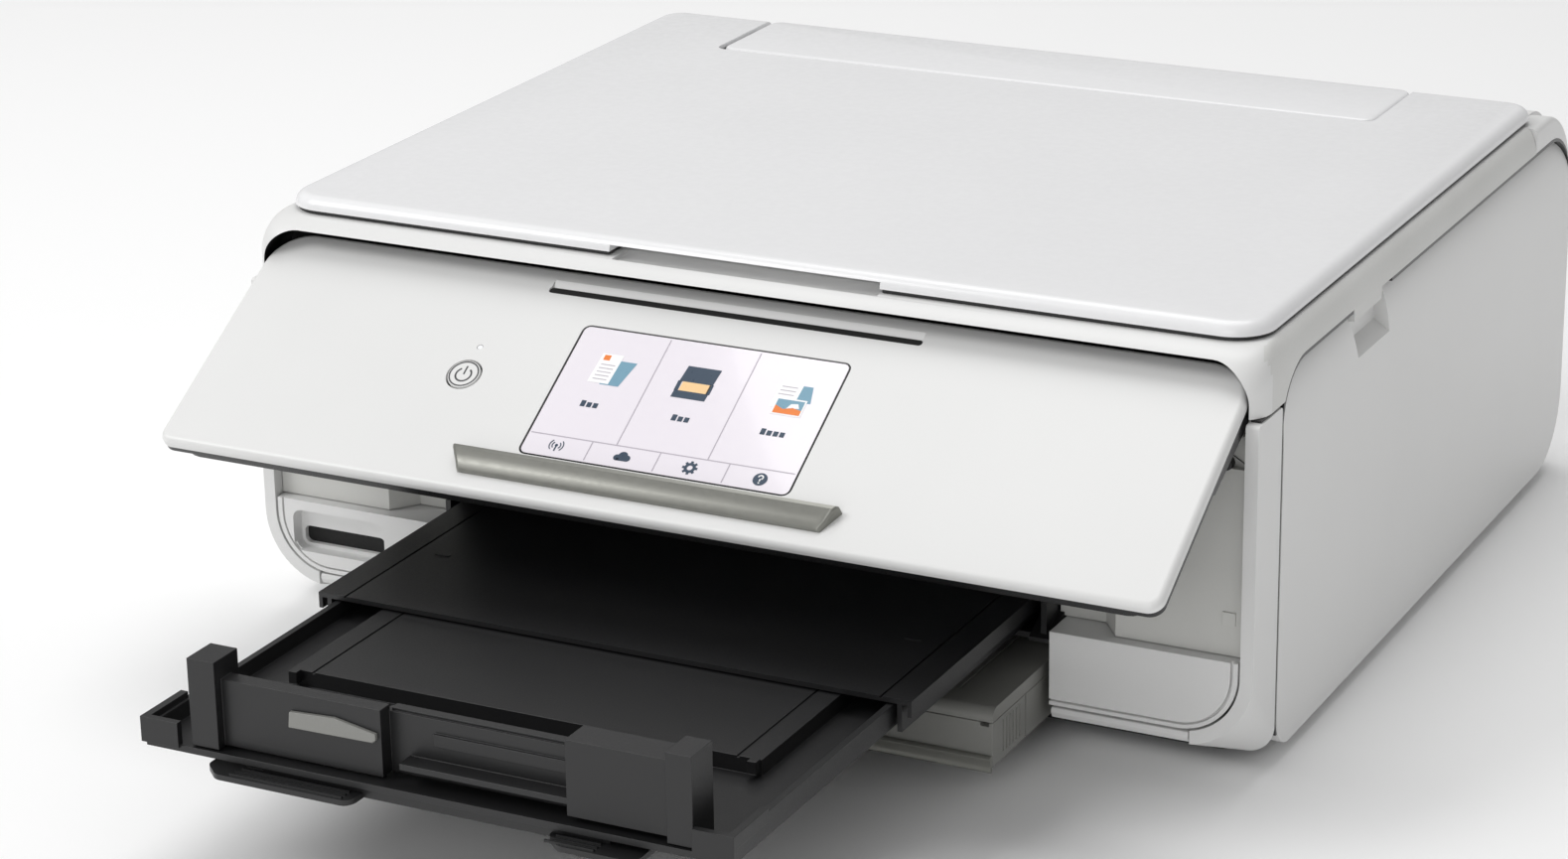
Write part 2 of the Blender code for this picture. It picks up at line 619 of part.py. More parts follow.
def output_tray():
    z0, z1 = TRAY_Z
    outer_web = OUTER_HALF - 3.5
    outer_front, outer_back = OUTER_FRONT, OUTER_FRONT + OUTER_LEN
    top = block(-OUTER_HALF, OUTER_HALF, outer_front, outer_back, OUTER_TOP - 1.8, OUTER_TOP)
    webs = [block(s * outer_web - 1, s * outer_web + 1, outer_front, outer_back, CHANNEL_FLOOR + 0.4,
                  OUTER_TOP - 1) for s in (-1, 1)]
    add("tray_outer_stage", join(top, *webs), "black")
    front, back = TRAY_FRONT, TRAY_FRONT + TRAY_LEN
    floor = block(-TRAY_HALF, TRAY_HALF, front, back, z0, z0 + 2.2)
    deck_half = TRAY_HALF - 18
    deck = block(-deck_half, deck_half, front + 54, back, z0 + 1, z1)
    pieces = [deck]
    for s in (-1, 1):
        x0, x1 = sorted((s * (TRAY_HALF - 2.5), s * TRAY_HALF))
        pieces.append(block(x0, x1, front, back, z0 + 1, z1))
        x0, x1 = sorted((s * (TRAY_HALF - 12.5), s * TRAY_HALF))
        pieces.append(block(x0, x1, front - 1.0, front + 1.5, z0 + 1.6, OUTER_TOP))
    add("tray_inner_stage", join(floor, *pieces), "black")
    tab_y = front - THUMB_REACH
    plate = block(-60, 60, front + 2, front + 9.5, z0 - 4.2, z0 - GAP)
    left = prism(rounded(-77, -24, tab_y, front + 9, (3, 3, 0, 0), 3), "Z", z0 - 4.2, z0 - 1.6)
    right = prism(rounded(41, 73, tab_y, front + 9, (3, 3, 0, 0), 3), "Z", z0 - 4.2, z0 - 1.6)
    add("tray_thumb_grip", join(plate, left, right), "black")


def paper_stop():
    """Upright stop at the end of the tray; it folds back onto the tray."""
    low = TRAY_Z[0] + 2.8
    y0, y1 = STOP_Y - 11.5, STOP_Y + 1.5
    left, left_in = (step - TRAY_HALF for step in STOP_LEFT)
    right_in, right = (TRAY_HALF - step for step in STOP_RIGHT)
    left_post = block(left, left_in, y0, y1, low, STOP_TOP)
    right_post = block(right_in, right, y0, y1, low, STOP_TOP)
    left_wall = block(left_in - 1, -19, y0 + 4, y0 + 7.5, low, STOP_TOP - 6)
    middle = block(-20, 46, y0 + 7, y1, low, STOP_TOP - 8)
    right_wall = block(45, right_in + 1, y0 + 1, y1, low, STOP_TOP - 3)
    add("paper_stop", join(middle, left_wall, left_post, right_wall, right_post), "black",
        (0, STOP_Y, STOP_Z))
    tab = prism([(-52, y0 + 1.2), (-20.5, y0 + 1.2), (-20.5, y0 + 3.7), (-52, y0 + 3.7)], "Z",
                STOP_TOP - 17, STOP_TOP - 12.5)
    add("stop_tab", tab, "grey", (0, STOP_Y, STOP_Z))


# ---------------------------------------------------------------- cassette

def cassette():
    z0, z1 = CASSETTE_Z
    half = CASSETTE_HALF
    front, back = CASSETTE_FRONT, CASSETTE_FRONT + CASSETTE_LEN
    tray = block(-half, half, front, back, z0, z1)
    inside = block(-half + 2.5, half - 2.5, front + 4, back - 3, z0 + 2, z1 + 1)
    add("cassette_tray", cut(tray, inside), "grey")
    lip = block(-half, half, front - 2.0, front - GAP, z0 - 1.5, z0 + 4.2)
    add("cassette_lip", bevel(lip, 1.2, 2, lambda m: m.y < front - 1.9), "silver")
    cover = block(-half, half, front, front + 150, z1 + GAP, CASSETTE_TOP)
    bevel(cover, 1.5, 2, lambda m: m.z > CASSETTE_TOP - 0.01)
    add("cassette_cover", cover, "grey")

    def guide():
        foot = block(90, 108, front + 190, front + 225, z0 + 2.4, z0 + 4)
        fence = block(106, 108, front + 190, front + 225, z0 + 3.5, z1)
        return join(foot, fence)

    both_sides("cassette_guide", guide, "black")


def main():
    for body in list(bpy.data.objects):
        bpy.data.objects.remove(body)
    for build in (lower_case, feet, side_covers, rear_cover, hinge_covers, front_frame, front_blocks,
                  inner_walls, output_channel, rollers, print_carriage, drives,
                  scanner_housing, scan_unit, document_lid, rear_feed, control_panel,
                  output_tray, paper_stop, cassette):
        build()


main()
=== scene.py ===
"""An inkjet printer with a scanner lid, a tilting control panel, a drawn-out output
tray and a paper cassette.  Shapes are drawn in millimetres about the middle of the
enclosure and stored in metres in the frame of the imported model."""
import math

import bmesh
import bpy
from mathutils import Matrix, Vector


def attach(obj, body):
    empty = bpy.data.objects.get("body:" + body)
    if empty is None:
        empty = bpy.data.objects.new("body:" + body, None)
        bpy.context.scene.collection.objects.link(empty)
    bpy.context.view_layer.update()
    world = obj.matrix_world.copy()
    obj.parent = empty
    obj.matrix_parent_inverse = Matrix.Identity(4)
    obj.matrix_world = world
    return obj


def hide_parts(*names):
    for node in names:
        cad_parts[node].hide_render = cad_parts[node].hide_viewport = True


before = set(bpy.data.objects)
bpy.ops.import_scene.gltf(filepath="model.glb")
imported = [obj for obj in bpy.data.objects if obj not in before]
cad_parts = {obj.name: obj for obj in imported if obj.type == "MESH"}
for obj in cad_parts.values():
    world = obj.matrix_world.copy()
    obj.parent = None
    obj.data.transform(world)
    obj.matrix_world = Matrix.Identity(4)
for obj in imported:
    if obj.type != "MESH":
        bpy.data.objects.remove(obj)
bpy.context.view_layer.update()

MM = 0.001
MIDDLE = Vector((0.0, 101.7, 0.0))      # enclosure's middle to the model's middle
PIVOT = Vector((0.0, -163.7, 129.0))    # hinge line of the control panel
TILT = math.radians(31.5)
FACE = 4.57                             # panel face above its pivot
UNDER = FACE - 3.4                      # back of the panel's white plate
PANEL = Matrix.Translation(PIVOT) @ Matrix.Rotation(TILT, 4, "X")


# ---------------------------------------------------------------- finishes

def colour(code, alpha=1.0):
    """An sRGB hex value as linear light."""
    parts = [int(code[i:i + 2], 16) / 255 for i in (1, 3, 5)]
    return [p / 12.92 if p <= 0.04045 else ((p + 0.055) / 1.055) ** 2.4 for p in parts] + [alpha]


def node(tree, kind, links=None, **settings):
    """Add a node; links give its sockets a value or another node's output."""
    made = tree.nodes.new(kind)
    for key, value in settings.items():
        setattr(made, key, value)
    for socket, value in (links or {}).items():
        if isinstance(value, bpy.types.NodeSocket):
            tree.links.new(value, made.inputs[socket])
        else:
            made.inputs[socket].default_value = value
    return made


def finish(name, base, dark, rough, grain_mm, depth_mm, **fixed):
    """A moulded surface: slow colour drift, fine mould grain in bump and gloss."""
    made = bpy.data.materials.new(name)
    made.use_nodes = True
    tree = made.node_tree
    shader = tree.nodes["Principled BSDF"]
    place = node(tree, "ShaderNodeTexCoord").outputs["Object"]
    grain = node(tree, "ShaderNodeTexNoise", {"Vector": place, "Scale": 1 / (grain_mm * MM), "Detail": 2.0,
                                              "Roughness": 0.55}).outputs["Fac"]
    drift = node(tree, "ShaderNodeTexNoise", {"Vector": place, "Scale": 1 / (45 * MM), "Detail": 1.0}).outputs["Fac"]
    fleck = node(tree, "ShaderNodeMath", {0: grain, 1: 0.35}, operation="MULTIPLY").outputs[0]
    slow = node(tree, "ShaderNodeMath", {0: drift, 1: 0.65}, operation="MULTIPLY").outputs[0]
    blend = node(tree, "ShaderNodeMath", {0: fleck, 1: slow}, operation="ADD").outputs[0]
    ramp = node(tree, "ShaderNodeMix", {"Factor": blend, "A": colour(dark), "B": colour(base)},
                data_type="RGBA")
    tree.links.new(ramp.outputs[2], shader.inputs["Base Color"])
    gloss = node(tree, "ShaderNodeMapRange", {"Value": grain, "From Min": 0.3, "From Max": 0.7,
                                              "To Min": rough - 0.03, "To Max": rough + 0.04})
    tree.links.new(gloss.outputs["Result"], shader.inputs["Roughness"])
    bump = node(tree, "ShaderNodeBump", {"Height": grain, "Strength": 0.6, "Distance": depth_mm * MM})
    tree.links.new(bump.outputs["Normal"], shader.inputs["Normal"])
    for socket, value in fixed.items():
        shader.inputs[socket.replace("_", " ")].default_value = value
    return made


def brushed(name, base, dark, rough, streak):
    """Rolled or brushed metal: fine streaks along X."""
    made = bpy.data.materials.new(name)
    made.use_nodes = True
    tree = made.node_tree
    shader = tree.nodes["Principled BSDF"]
    place = node(tree, "ShaderNodeTexCoord").outputs["Object"]
    long = node(tree, "ShaderNodeMapping", {"Vector": place, "Scale": (30.0, 1 / (streak * MM), 1 / (streak * MM))})
    lines = node(tree, "ShaderNodeTexNoise", {"Vector": long.outputs[0], "Scale": 1.0, "Detail": 3.0}).outputs["Fac"]
    ramp = node(tree, "ShaderNodeMix", {"Factor": lines, "A": colour(dark), "B": colour(base)}, data_type="RGBA")
    tree.links.new(ramp.outputs[2], shader.inputs["Base Color"])
    gloss = node(tree, "ShaderNodeMapRange", {"Value": lines, "To Min": rough - 0.06, "To Max": rough + 0.08})
    tree.links.new(gloss.outputs["Result"], shader.inputs["Roughness"])
    bump = node(tree, "ShaderNodeBump", {"Height": lines, "Strength": 0.25, "Distance": 0.02 * MM})
    tree.links.new(bump.outputs["Normal"], shader.inputs["Normal"])
    shader.inputs["Metallic"].default_value = 1.0
    return made


# Injection-moulded ABS: white, polished on the lid, finely spark-eroded on the covers.
LID_WHITE = finish("polished_white_abs", "#F2F2F3", "#EDEDEE", 0.22, 3.0, 0.0005, IOR=1.54)
COVER_WHITE = finish("satin_white_abs", "#E8E8E7", "#E2E2E1", 0.36, 0.7, 0.008, IOR=1.54)
STRIP_WHITE = finish("eroded_white_abs", "#E6E6E4", "#D0D0CD", 0.45, 0.9, 0.03, IOR=1.54)
WALL_WHITE = finish("plain_white_abs", "#DADAD6", "#D2D2CE", 0.42, 0.8, 0.01, IOR=1.54)
# Black ABS with a matt mould face; the tray shows soft grey sheen along its edges.
TRAY_BLACK = finish("matt_black_abs", "#1D1D1E", "#161617", 0.4, 0.6, 0.02, IOR=1.54)
SHELL_BLACK = finish("satin_black_abs", "#161617", "#101011", 0.3, 0.6, 0.008, IOR=1.54)
# Warm grey ABS of the cassette, and its silver-painted lip and the panel's grip.
CASSETTE_GREY = finish("warm_grey_abs", "#8E8E8A", "#82827E", 0.34, 0.7, 0.012, IOR=1.54)
SILVER_PAINT = finish("silver_paint", "#93938D", "#888882", 0.34, 2.0, 0.0005, Metallic=0.6)
RUBBER = finish("nitrile_rubber", "#232323", "#171717", 0.78, 0.5, 0.04, IOR=1.52)
FOAM = finish("white_foam", "#EDEDEA", "#DADAD6", 0.9, 0.4, 0.08)
BOARD = finish("solder_mask", "#1E6B3A", "#0F4A26", 0.35, 1.4, 0.02, IOR=1.5)
STEEL = brushed("zinc_plated_steel", "#C6C8CA", "#9C9EA1", 0.32, 0.5)
GLASS = finish("float_glass", "#E4EEEA", "#DCE8E4", 0.06, 6.0, 0.001, IOR=1.52, Transmission_Weight=0.9)
LENS = finish("lamp_lens", "#FFFFFF", "#F4F6F8", 0.15, 1.0, 0.001, IOR=1.49)
BEZEL = finish("black_glass", "#1A1A1C", "#121214", 0.12, 2.0, 0.001, IOR=1.52)
DISPLAY = finish("lit_display", "#F4EFF5", "#F1EBF3", 0.1, 3.0, 0.001, IOR=1.52, Coat_Weight=0.4)
RULE = finish("display_rule", "#BDB6C0", "#B5AEB8", 0.3, 2.0, 0.001)
PAGE = finish("display_page", "#FFFFFF", "#FAFAFA", 0.3, 2.0, 0.001)
TEAL = finish("display_blue", "#7FA9BD", "#6E9BB2", 0.3, 2.0, 0.001)
SLATE = finish("display_slate", "#33475B", "#2C3F53", 0.3, 2.0, 0.001)
ORANGE = finish("display_orange", "#F2883A", "#EC7C2C", 0.3, 2.0, 0.001)
AMBER = finish("display_amber", "#FBD9A8", "#F6C98C", 0.3, 2.0, 0.001)
PRINT_GREY = finish("pad_print_grey", "#3E3E41", "#38383B", 0.4, 1.0, 0.001)
# Near-black fill for slots and openings: painted shade for their dark insides.
SHADE_BLACK = finish("painted_shade_black", "#080808", "#050505", 0.6, 0.6, 0.01)


# ---------------------------------------------------------------- shaping

def box(x0, x1, y0, y1, z0, z1):
    bm = bmesh.new()
    bmesh.ops.create_cube(bm, size=1.0)
    bmesh.ops.scale(bm, vec=(x1 - x0, y1 - y0, z1 - z0), verts=bm.verts)
    bmesh.ops.translate(bm, vec=((x0 + x1) / 2, (y0 + y1) / 2, (z0 + z1) / 2), verts=bm.verts)
    return bm


PLACE = {
    "X": lambda u, v, w: (w, u, v),
    "Y": lambda u, v, w: (u, w, v),
    "Z": lambda u, v, w: (u, v, w),
}


def slab(corners, axis, lo, hi):
    """A flat outline drawn out along an axis."""
    bm = bmesh.new()
    face = bm.faces.new([bm.verts.new(PLACE[axis](u, v, lo)) for u, v in corners])
    drawn = bmesh.ops.extrude_face_region(bm, geom=[face])
    moved = [g for g in drawn["geom"] if isinstance(g, bmesh.types.BMVert)]
    bmesh.ops.translate(bm, vec=PLACE[axis](0, 0, hi - lo), verts=moved)
    bmesh.ops.recalc_face_normals(bm, faces=bm.faces)
    return bm


def rod(axis, u, v, radius, lo, hi, steps=48):
    """A round bar along an axis."""
    bm = bmesh.new()
    bmesh.ops.create_cone(bm, cap_ends=True, segments=steps, radius1=radius, radius2=radius, depth=hi - lo)
    turn = {"X": Matrix.Rotation(math.pi / 2, 3, "Y"), "Y": Matrix.Rotation(math.pi / 2, 3, "X"),
            "Z": Matrix.Identity(3)}[axis]
    bmesh.ops.rotate(bm, matrix=turn, verts=bm.verts)
    bmesh.ops.translate(bm, vec=PLACE[axis](u, v, (lo + hi) / 2), verts=bm.verts)
    return bm


def soften(bm, width, steps, wanted):
    """Round the edges picked by a test on their middle and their direction."""
    picked = []
    for e in bm.edges:
        a, b = e.verts[0].co, e.verts[1].co
        if wanted((a + b) / 2, (b - a).normalized()):
            picked.append(e)
    bmesh.ops.bevel(bm, geom=picked, offset=width, offset_type="OFFSET", segments=steps, profile=0.5,
                    affect="EDGES", material=-1, clamp_overlap=True)
    return bm


def plate(x0, x1, y0, y1, z0, z1, radius, steps=6, axis="Z"):
    """A flat plate with round corners."""
    bm = slab([(x0, y0), (x1, y0), (x1, y1), (x0, y1)], axis, z0, z1)
    number = "XYZ".index(axis)
    return soften(bm, radius, steps, lambda m, d: abs(d[number]) > 0.9)


def combined(base, tools, operation):
    """Cut or join meshes with an exact Boolean."""
    def shown(bm):
        mesh = bpy.data.meshes.new("blank")
        bm.to_mesh(mesh)
        bm.free()
        made = bpy.data.objects.new("blank", mesh)
        bpy.context.scene.collection.objects.link(made)
        return made

    host = shown(base)
    others = [shown(tool) for tool in tools]
    for other in others:
        step = host.modifiers.new("step", "BOOLEAN")
        step.operation = operation
        step.solver = "EXACT"
        step.object = other
    bpy.context.view_layer.update()
    mesh = bpy.data.meshes.new_from_object(host.evaluated_get(bpy.context.evaluated_depsgraph_get()))
    for made in [host] + others:
        old = made.data
        bpy.data.objects.remove(made)
        bpy.data.meshes.remove(old)
    bm = bmesh.new()
    bm.from_mesh(mesh)
    bpy.data.meshes.remove(mesh)
    return bm


def carve(base, *tools):
    return combined(base, tools, "DIFFERENCE")


def weld(base, *tools):
    return combined(base, tools, "UNION")


def gather(*parts):
    """One mesh from several; each part is its finish number and its mesh."""
    whole = bmesh.new()
    for number, bm in parts:
        for face in bm.faces:
            face.material_index = number
        mesh = bpy.data.meshes.new("part")
        bm.to_mesh(mesh)
        bm.free()
        whole.from_mesh(mesh)
        bpy.data.meshes.remove(mesh)
    return whole


def mirrored(bm):
    bmesh.ops.scale(bm, vec=(-1, 1, 1), verts=bm.verts)
    bmesh.ops.reverse_faces(bm, faces=bm.faces)
    return bm


def piece(name, bm, finishes, body, stands_for=(), edge=0.3, steps=2, place=None, slot=None):
    """Store a mesh as a finished piece that rides on a body."""
    bmesh.ops.remove_doubles(bm, verts=bm.verts, dist=0.0005)
    if place:
        bmesh.ops.transform(bm, matrix=place, verts=bm.verts)
    bmesh.ops.translate(bm, vec=MIDDLE, verts=bm.verts)
    bmesh.ops.scale(bm, vec=(MM, MM, MM), verts=bm.verts)
    mesh = bpy.data.meshes.new(name)
    bm.to_mesh(mesh)
    bm.free()
    for made in finishes if isinstance(finishes, (list, tuple)) else [finishes]:
        mesh.materials.append(made)
    mesh.shade_smooth()
    mesh.set_sharp_from_angle(angle=math.radians(40))
    obj = bpy.data.objects.new(name, mesh)
    bpy.context.scene.collection.objects.link(obj)
    if edge:
        rounding = obj.modifiers.new("edges", "BEVEL")
        rounding.width = edge * MM
        rounding.segments = steps
        rounding.profile = 0.5
        rounding.limit_method = "ANGLE"
        rounding.angle_limit = math.radians(40)
        rounding.harden_normals = True
    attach(obj, body)
    if stands_for:
        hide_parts(*stands_for)
    return obj


def pair(name, make, finishes, body, stands_for=(), **more):
    """The right-hand piece and its mirror image on the left."""
    for side, turn in (("right", lambda bm: bm), ("left", mirrored)):
        nodes = [n + "_" + side for n in stands_for]
        piece(name + "_" + side, turn(make()), finishes, body, nodes, **more)


# ---------------------------------------------------------------- scanner and lid

def lid_blank(inset, z0, z1):
    """The lid's outline, drawn in all round, with a notch for the rear feed cover."""
    x, front, back = 181 - inset, inset - 156, 131 - inset
    half, notch = 134.6 + inset, 81.8 - inset
    corners = [(-x, front), (x, front), (x, back), (half, back), (half, notch), (-half, notch), (-half, back),
               (-x, back)]
    bm = slab(corners, "Z", z0, z1)
    soften(bm, 14, 10, lambda m, d: abs(d.z) > 0.9 and m.y < front + 1)
    soften(bm, 10, 8, lambda m, d: abs(d.z) > 0.9 and abs(m.x) > x - 1 and m.y > back - 1)
    return soften(bm, 4, 6, lambda m, d: abs(d.z) > 0.9 and abs(abs(m.x) - half) < 1 and m.y < notch + 1)


def document_lid():
    bm = lid_blank(0, 147.5, 152)
    soften(bm, 4.4, 8, lambda m, d: m.z > 151.99 and not (abs(m.x) < 135 and m.y > 80))
    scoop = slab([(-158, 145), (-158, 149.8), (-152, 149.6), (-146, 147.2), (-144, 145)], "X", -50, 50)
    bed = box(-158, 158, -140, 76, 145, 148.2)
    piece("document_lid_top", carve(bm, scoop, bed), LID_WHITE, "lid", ["document_lid"], edge=0.25,
          slot="gloss_white")
    # A black band round the lid just above the deck: painted shade in the gap under the lid's edge.
    gap_shade = carve(lid_blank(0.7, 146.2, 147.6), box(-158, 158, -140, 76, 145, 149),
                 box(-50.6, 50.6, -158, -139, 145, 149))
    piece("lid_gap_shade", gap_shade, SHELL_BLACK, "lid", edge=0.1, slot="black")


def shoulder(bm, top_z, rise, front_in, side_in, steps):
    """Draw the top face up over a rounded shoulder, keeping its back edge in place."""
    back = 117.9
    x, y = 186.0, back + 169.0
    height = top_z
    for i in range(1, steps + 1):
        turn = math.radians(90 * i / steps)
        inset = 1 - math.cos(turn)
        top = max(bm.faces, key=lambda f: f.calc_center_median().z)
        drawn = bmesh.ops.extrude_face_region(bm, geom=[top])
        moved = [g for g in drawn["geom"] if isinstance(g, bmesh.types.BMVert)]
        if top.is_valid:
            bmesh.ops.delete(bm, geom=[top], context="FACES_ONLY")
        new_x, new_y = 186.0 - side_in * inset, back + 169.0 - front_in * inset
        new_z = top_z + rise * math.sin(turn)
        bmesh.ops.translate(bm, vec=(0, -back, 0), verts=moved)
        bmesh.ops.scale(bm, vec=(new_x / x, new_y / y, 1), verts=moved)
        bmesh.ops.translate(bm, vec=(0, back, new_z - height), verts=moved)
        x, y, height = new_x, new_y, new_z
    bmesh.ops.recalc_face_normals(bm, faces=bm.faces)
    return bm


def scanner_shell():
    bm = slab([(-186, -169), (186, -169), (186, 117.9), (-186, 117.9)], "Z", 125.4, 133)
    soften(bm, 11, 10, lambda m, d: abs(d.z) > 0.9 and m.y < -160)
    shoulder(bm, 133.0, 13.0, 13.0, 5.0, 12)
    side = slab([(-148.5, 90), (-148.5, 136.4), (130, 136.4), (130, 90)], "X", 176.7, 195)
    soften(side, 20.8, 12, lambda m, d: abs(d.x) > 0.9 and m.y < -140 and m.z > 130)
    other = mirrored(side.copy())
    mouth = slab([(-181.6, 110), (181.6, 110), (181.6, 142.7), (-181.6, 142.7)], "Y", -175, -150.1)
    soften(mouth, 13, 12, lambda m, d: abs(d.y) > 0.9 and m.z > 140)
    trough = rod("X", -152.5, 157.5, 13.0, -48, 50, 96)
    bm = carve(bm, side, other, mouth, box(-166, 166, -146, 80, 128, 143),
               box(-150.3, 150.3, -132.3, 70.3, 140, 150), box(-134.6, 134.6, 83.4, 130, 100, 160), trough)
    for s in (-1, 1):
        x0, x1 = sorted((s * 182.4, s * 185.0))
        bm = weld(bm, box(x0, x1, -79, -52, 131.2, 139))
    for face in bm.faces:
        spot = face.calc_center_median()
        face.material_index = 1 if abs(spot.x) > 181.6 and spot.y > -158 and abs(face.normal.y) < 0.5 else 0
        # Faces turned into the mouth under the scanner's front take satin black: painted shade in the recess.
        inward = face.normal.z < -0.05 or face.normal.x * spot.x < -1 or spot.y > -150.2
        if inward and abs(spot.x) < 181.7 and spot.z < 142.8 and -168.9 < spot.y < -150:
            face.material_index = 2
    piece("scanner_body", bm, [COVER_WHITE, STRIP_WHITE, SHELL_BLACK], "scanner", ["scanner_housing"], edge=0.3, slot="white")


def feed_lid():
    bm = plate(-133.6, 133.6, 84.6, 131, 148, 151.7, 5, 6)
    soften(bm, 1.6, 5, lambda m, d: m.z > 151.69)
    piece("rear_feed_cover", bm, LID_WHITE, "feed_door", ["feed_cover"], edge=0, slot="gloss_white")


def feed_gap_shade():
    """Black rim that shows in the gap round the rear feed cover: painted shade in the gap."""
    rim = carve(box(-134.4, 134.4, 82.1, 117, 146.2, 150.4), box(-133.9, 133.9, 84.3, 120, 140, 155))
    piece("feed_cover_gap_shade", rim, SHELL_BLACK, "scanner", edge=0.1, slot="black")


# ---------------------------------------------------------------- covers

def arc(u, v, radius, start, end, steps):
    """Points along an arc, angles in degrees."""
    turns = [math.radians(start + (end - start) * i / steps) for i in range(steps + 1)]
    return [(u + radius * math.cos(t), v + radius * math.sin(t)) for t in turns]


def cover_outline(grow, x0, x1):
    """A side cover's outline, seen from the side."""
    front, back, low, top = -146.3 - grow, 164.6, 4.9, 134.9 + grow
    bm = slab([(front, low), (back, low), (back, top), (front, top)], "X", x0, x1)
    soften(bm, 19, 12, lambda m, d: abs(d.x) > 0.9 and m.y < 0 and m.z > 100)
    soften(bm, 12, 10, lambda m, d: abs(d.x) > 0.9 and m.y < 0 and m.z < 20)
    return soften(bm, 27, 14, lambda m, d: abs(d.x) > 0.9 and m.y > 0)


def side_cover():
    """A panel rounded over at the top, with a finger notch."""
    over = [(180.2 + 5.8 * math.cos(a), 108 + 27.4 * math.sin(a))
            for a in (math.radians(90 * i / 14) for i in range(15))]
    profile = slab([(177, 4.9), (186, 4.9)] + over + [(177, 135.3)], "Y", -150, 166)
    bm = combined(profile, [cover_outline(0, 170, 190)], "INTERSECT")
    rim = []
    for e in bm.edges:
        sides = [abs(f.normal.x) for f in e.link_faces]
        if min(sides) < 0.05 and max(sides) > 0.5 and max(abs(v.co.x) for v in e.verts) > 178:
            rim.append(e)
    bmesh.ops.bevel(bm, geom=rim, offset=2.6, offset_type="OFFSET", segments=5, profile=0.5, affect="EDGES",
                    material=-1, clamp_overlap=True)
    notch = slab([(-75.4, 114.8), (-44.5, 114.8), (-46, 140), (-81.6, 140)], "X", 180.0, 190)
    for v in notch.verts:
        if v.co.x < 181 and v.co.z < 120:
            v.co.z = 121.5
    catch = box(178.5, 181, -54, -49, 126.5, 131)
    return carve(bm, notch, catch)


def seam_shade_strip():
    """Black strip that backs the seam round a side cover: painted shade in the seam."""
    return carve(cover_outline(1.4, 177.2, 185.7), cover_outline(0.2, 170, 190), box(170, 190, -82.2, -44, 110, 140),
                 box(170, 190, -150, 170, 0, 11))


def case_tub():
    """Floor and walls, with rounded lower corners and the channel for the cassette."""
    right = arc(166.5, 13.6, 10.2, -90, 0, 8) + [(176.7, 124.6), (173.7, 124.6), (173.7, 38.5), (116, 38.5),
                                                 (116, 10.5), (102, 10.5), (102, 6)]
    return slab(right + [(-x, z) for x, z in reversed(right)], "Y", -147.7, 158)


def covers():
    pair("side_panel", side_cover, COVER_WHITE, "enclosure", ["side_cover"], edge=0.3, steps=3, slot="white")
    # Black strips in the seams round the side covers: painted shade.
    pair("side_seam_shade", seam_shade_strip, SHELL_BLACK, "enclosure", edge=0, slot="black")
    # A black bar in the gap on top of each front post: painted shade.
    pair("post_seam_shade", lambda: box(181.9, 185.3, -165.5, -148.6, 124.3, 125.3), SHELL_BLACK, "enclosure", edge=0.1,
         slot="black")
    piece("case_tub", case_tub(), TRAY_BLACK, "enclosure", ["lower_case"], edge=0.4, slot="black")

    wall = slab([(164.6, 4), (164.6, 145.2), (140, 145.2), (140, 142), (161.4, 142), (161.4, 4)], "X",
                -176.7, 176.7)
    soften(wall, 30, 20, lambda m, d: abs(d.x) > 0.9 and m.y > 164 and m.z > 140)
    soften(wall, 27, 20, lambda m, d: abs(d.x) > 0.9 and 160 < m.y < 162 and m.z > 140)
    socket = box(-162, -130, 158, 170, 46, 70)
    usb = box(60, 74, 158, 170, 46, 60)
    slots = [box(-150 + 9 * i, -145 + 9 * i, 158, 170, 84, 87) for i in range(12)]
    piece("back_panel", carve(wall, socket, usb, *slots), COVER_WHITE, "enclosure", ["rear_cover"], edge=0.4,
          slot="white")

    def corner():
        inner = box(134.8, 176.9, 118.3, 139.9, 125, 145.6)
        roof = arc(133, 114, 31.5, 22, 88, 12)
        outer = slab([(118.3, 136.3)] + arc(137.6, 108.2, 28.1, 90, 38, 8) + roof + [(118.3, 145.5)], "X", 176, 185.6)
        soften(outer, 2.2, 6, lambda m, d: m.x > 185.5 and m.y > 118.4 and math.hypot(m.y - 133, m.z - 114) > 30.9)
        return weld(inner, outer)

    pair("rear_corner", corner, COVER_WHITE, "enclosure", ["hinge_cover"], edge=0.4, steps=3, slot="white")


def outside(m):
    """Whether a point lies on the outer side of a front post's middle line."""
    return math.hypot(m.x - 160, m.z - 39) > 23.8 if m.z < 39 else m.x > 183.8


def front_post():
    """Side post that turns under the front block and deepens towards the side cover."""
    face = arc(160, 39, 26, -math.degrees(math.acos(4.8 / 26)), 0, 16)
    inner = arc(160, 39, 21.5, 0, -math.degrees(math.acos(4.8 / 21.5)), 16)
    back = [(164.8, 5)] + arc(176, 15, 10, -90, 0, 15)
    bm = slab(face + [(186, 124.4), (181.5, 124.4)] + inner, "Y", -169, -148.2)
    for v in bm.verts:
        for (x, z), (far_x, far_z) in zip(face, back):
            if v.co.y > -150 and abs(v.co.x - x) < 0.01 and abs(v.co.z - z) < 0.01:
                v.co.x, v.co.z = far_x, far_z
                break
    soften(bm, 1.2, 4, lambda m, d: m.z > 124.3 and abs(d.y) < 0.1)
    return soften(bm, 4.0, 8, lambda m, d: m.y < -168.9 and m.z < 123 and m.x > 165 and outside(m))


def front_lip():
    """Lip under the front block, with a ridge along its upper edge."""
    return slab([(-148.2, 5.5), (-164.5, 12.4), (-168, 13.8), (-169, 15.8), (-168.6, 17.4), (-148.2, 17.4)],
                "X", 116.6, 164.3)


